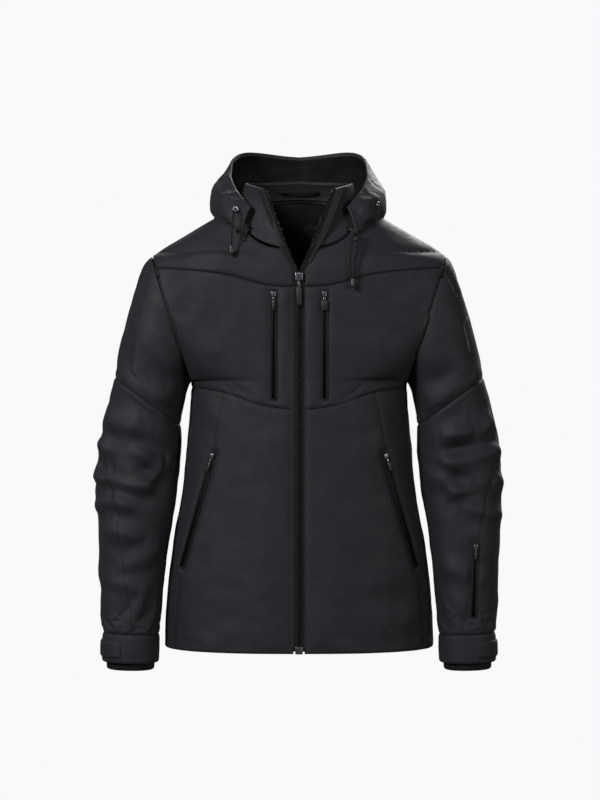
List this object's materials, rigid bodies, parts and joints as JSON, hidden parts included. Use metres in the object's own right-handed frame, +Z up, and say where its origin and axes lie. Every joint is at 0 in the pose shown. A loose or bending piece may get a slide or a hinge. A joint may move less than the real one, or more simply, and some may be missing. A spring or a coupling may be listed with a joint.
{
  "type": "ski jacket",
  "caption": "Hooded padded ski jacket with full-length front zip, chest, hand and sleeve zip pockets, strapped cuffs, hood drawcords and snow skirt.",
  "frame": {"origin": "centre of the neck opening, level with the high points of the shoulders", "axes": "+Z up along the body, front facing -Y, +X to the wearer's left"},
  "size_m": [0.6674, 0.3236, 0.8629],
  "materials": {
    "shell": "matte charcoal softshell twill with a faint blue-grey sheen",
    "lining": "smooth black lining cloth",
    "zip_tape": "black woven and coated tape",
    "zip_teeth": "satin black moulded teeth",
    "zip_metal": "dark gunmetal lacquer",
    "moulded": "satin black moulded rubber",
    "cord": "black braided elastic cord"
  },
  "bodies": {
    "jacket_body": {"front_panel_right": "shell", "chest_panel_right": "shell", "front_yoke_right": "shell", "collar_right": "shell", "hood_side_right": "shell", "hand_pocket_bag_right": "lining", "main_zip_tape_right": "zip_tape", "right_chest_zip_strip": "zip_tape", "right_hand_zip_strip": "zip_tape", "main_zip_teeth_right": "zip_teeth", "eyelet_right": "zip_metal", "cord_end_right": "moulded", "front_panel_left": "shell", "chest_panel_left": "shell", "front_yoke_left": "shell", "collar_left": "shell", "hood_side_left": "shell", "hand_pocket_bag_left": "lining", "main_zip_tape_left": "zip_tape", "left_chest_zip_strip": "zip_tape", "left_hand_zip_strip": "zip_tape", "main_zip_teeth_left": "zip_teeth", "eyelet_left": "zip_metal", "cord_end_left": "moulded", "back_panel": "shell", "back_yoke": "shell", "collar_back": "shell", "hood_centre": "shell", "body_lining": "lining", "snow_skirt": "lining", "wind_flap": "lining", "hanger_loop": "lining", "main_zip_box": "zip_metal", "hood_cord_right": "cord", "hood_cord_left_front": "cord", "hood_cord_left_rear": "cord"},
    "main_slider": {"main_zip_slider": "zip_metal"},
    "main_pull": {"main_zip_pull": "moulded"},
    "upper_sleeve_right": {"upper_sleeve_right": "shell"},
    "lower_sleeve_right": {"lower_sleeve_right": "shell", "cuff_right": "shell", "storm_cuff_right": "lining"},
    "cuff_strap_right": {"cuff_strap_right": "moulded"},
    "right_chest_slider": {"right_chest_zip_slider": "zip_metal"},
    "right_chest_pull": {"right_chest_zip_pull": "moulded"},
    "right_hand_slider": {"right_hand_zip_slider": "zip_metal"},
    "right_hand_pull": {"right_hand_zip_pull": "moulded"},
    "upper_sleeve_left": {"upper_sleeve_left": "shell", "sleeve_badge": "moulded"},
    "lower_sleeve_left": {"lower_sleeve_left": "shell", "cuff_left": "shell", "storm_cuff_left": "lining", "pass_zip_strip": "zip_tape"},
    "cuff_strap_left": {"cuff_strap_left": "moulded"},
    "left_chest_slider": {"left_chest_zip_slider": "zip_metal"},
    "left_chest_pull": {"left_chest_zip_pull": "moulded"},
    "left_hand_slider": {"left_hand_zip_slider": "zip_metal"},
    "left_hand_pull": {"left_hand_zip_pull": "moulded"},
    "pass_slider": {"pass_zip_slider": "zip_metal"},
    "pass_pull": {"pass_zip_pull": "moulded"}
  },
  "joints": [
    {"name": "main_zip_slide", "type": "slide", "parent": "jacket_body", "child": "main_slider", "axis": [0, -0.0356, -0.9994], "range_m": [0, 0.5451]},
    {"name": "main_pull_swing", "type": "hinge", "parent": "main_slider", "child": "main_pull", "pos_m": [0, -0.11458, -0.131], "axis": [-1, 0, 0], "range_deg": [0, 150]},
    {"name": "right_chest_zip_slide", "type": "slide", "parent": "jacket_body", "child": "right_chest_slider", "axis": [0, -0.0301, -0.9995], "range_m": [0, 0.1581]},
    {"name": "right_chest_pull_swing", "type": "hinge", "parent": "right_chest_slider", "child": "right_chest_pull", "pos_m": [-0.041, -0.11538, -0.15702], "axis": [-1, 0, 0], "range_deg": [0, 150]},
    {"name": "right_hand_zip_slide", "type": "slide", "parent": "jacket_body", "child": "right_hand_slider", "axis": [-0.2691, 0.1277, -0.9546], "range_m": [0, 0.1789]},
    {"name": "right_hand_pull_swing", "type": "hinge", "parent": "right_hand_slider", "child": "right_hand_pull", "pos_m": [-0.14377, -0.08998, -0.41867], "axis": [-0.8705, 0.3917, 0.2978], "range_deg": [0, 150]},
    {"name": "left_chest_zip_slide", "type": "slide", "parent": "jacket_body", "child": "left_chest_slider", "axis": [0, -0.0301, -0.9995], "range_m": [0, 0.1581]},
    {"name": "left_chest_pull_swing", "type": "hinge", "parent": "left_chest_slider", "child": "left_chest_pull", "pos_m": [0.041, -0.11538, -0.15702], "axis": [-1, 0, 0], "range_deg": [0, 150]},
    {"name": "left_hand_zip_slide", "type": "slide", "parent": "jacket_body", "child": "left_hand_slider", "axis": [0.2691, 0.1277, -0.9546], "range_m": [0, 0.1789]},
    {"name": "left_hand_pull_swing", "type": "hinge", "parent": "left_hand_slider", "child": "left_hand_pull", "pos_m": [0.14377, -0.08998, -0.41867], "axis": [-0.8705, -0.3917, -0.2978], "range_deg": [0, 150]},
    {"name": "pass_zip_slide", "type": "slide", "parent": "lower_sleeve_left", "child": "pass_slider", "axis": [-0.0384, -0.0436, -0.9983], "range_m": [0, 0.1027]},
    {"name": "pass_pull_swing", "type": "hinge", "parent": "pass_slider", "child": "pass_pull", "pos_m": [0.28692, -0.08169, -0.56637], "axis": [-0.9993, 0, 0.0385], "range_deg": [0, 150]},
    {"name": "shoulder_raise_right", "type": "hinge", "parent": "jacket_body", "child": "upper_sleeve_right", "pos_m": [-0.242, 0, -0.084], "axis": [0, 1, 0], "range_deg": [0, 60]},
    {"name": "elbow_bend_right", "type": "hinge", "parent": "upper_sleeve_right", "child": "lower_sleeve_right", "pos_m": [-0.264, -0.0765, -0.399], "axis": [-0.9946, 0, 0.1039], "range_deg": [0, 60]},
    {"name": "cuff_strap_lift_right", "type": "hinge", "parent": "lower_sleeve_right", "child": "cuff_strap_right", "pos_m": [-0.28804, -0.08382, -0.72711], "axis": [0, 0, 1], "range_deg": [0, 70]},
    {"name": "shoulder_raise_left", "type": "hinge", "parent": "jacket_body", "child": "upper_sleeve_left", "pos_m": [0.242, 0, -0.084], "axis": [0, -1, 0], "range_deg": [0, 60]},
    {"name": "elbow_bend_left", "type": "hinge", "parent": "upper_sleeve_left", "child": "lower_sleeve_left", "pos_m": [0.264, -0.0765, -0.399], "axis": [-0.9946, 0, -0.1039], "range_deg": [0, 60]},
    {"name": "cuff_strap_lift_left", "type": "hinge", "parent": "lower_sleeve_left", "child": "cuff_strap_left", "pos_m": [0.28804, -0.08382, -0.72711], "axis": [0, 0, -1], "range_deg": [0, 70]}
  ]
}
